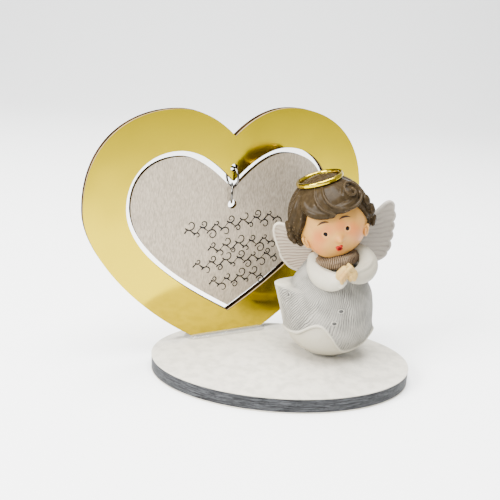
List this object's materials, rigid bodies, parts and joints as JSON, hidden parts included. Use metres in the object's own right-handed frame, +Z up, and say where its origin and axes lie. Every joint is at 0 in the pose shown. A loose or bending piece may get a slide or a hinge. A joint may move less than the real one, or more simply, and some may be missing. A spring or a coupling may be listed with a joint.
{
  "type": "angel favour ornament",
  "caption": "Small resin angel glued to an oval board in front of an upright gilded heart frame, in which a silvered heart hangs from jump rings.",
  "frame": {"origin": "centre of the oval board's underside, on the surface the ornament stands on", "axes": "+Z up, +X along the board's long axis towards the angel's left hand, -Y the way the angel looks"},
  "size_m": [0.113, 0.0704, 0.0885],
  "materials": {
    "melamine": "off-white, finely textured melamine",
    "board_edge": "fibre board, edge painted silver grey with dark fibres",
    "gold_mirror": "gold mirror film on clear acrylic, dark laser-cut edge",
    "silver_brushed": "brushed silver film on acrylic, dark laser-cut edge",
    "chrome": "bright plated wire",
    "clear_glue": "clear set glue",
    "white_resin": "smooth white cast resin",
    "robe_wash": "white cast resin with a grey wash in its grooves",
    "collar_wash": "white cast resin with a brown wash in its pleats",
    "skin_paint": "satin skin-tone paint on cast resin",
    "hand_paint": "satin ivory paint on cast resin",
    "hair_paint": "glossy taupe-brown paint on cast resin",
    "halo_gold": "metallic gold paint on cast resin",
    "wing_paint": "white cast resin with a grey-lilac wash"
  },
  "bodies": {
    "stand": {"board_bottom_skin": "melamine", "board_core": "board_edge", "board_top_skin": "melamine", "heart_frame": "gold_mirror", "frame_glue": "clear_glue", "figure_glue": "clear_glue", "robe_underside": "white_resin", "robe": "robe_wash", "head": "skin_paint", "hair": "hair_paint", "hair_fringe": "hair_paint", "hair_lock_left": "hair_paint", "hair_lock_right": "hair_paint", "halo": "halo_gold", "collar": "collar_wash", "hands": "hand_paint", "sleeve_right": "white_resin", "sleeve_left": "white_resin", "wing_right": "wing_paint", "wing_left": "wing_paint"},
    "upper_ring": {"jump_ring_upper": "chrome"},
    "lower_ring": {"jump_ring_lower": "chrome"},
    "hanging_heart": {"heart_plate": "silver_brushed"}
  },
  "joints": [
    {"name": "ring_swing", "type": "hinge", "parent": "stand", "child": "upper_ring", "pos_m": [-0.0202, 0.0182, 0.0675], "axis": [0.8996, 0.4368, 0], "range_deg": [-6, 6]},
    {"name": "ring_twist", "type": "hinge", "parent": "upper_ring", "child": "lower_ring", "pos_m": [-0.0202, 0.0182, 0.0618], "axis": [0.4368, -0.8996, 0], "range_deg": [-1, 1]},
    {"name": "heart_swing", "type": "hinge", "parent": "lower_ring", "child": "hanging_heart", "pos_m": [-0.0202, 0.0182, 0.0561], "axis": [0.8996, 0.4368, 0], "range_deg": [-7, 7]}
  ]
}
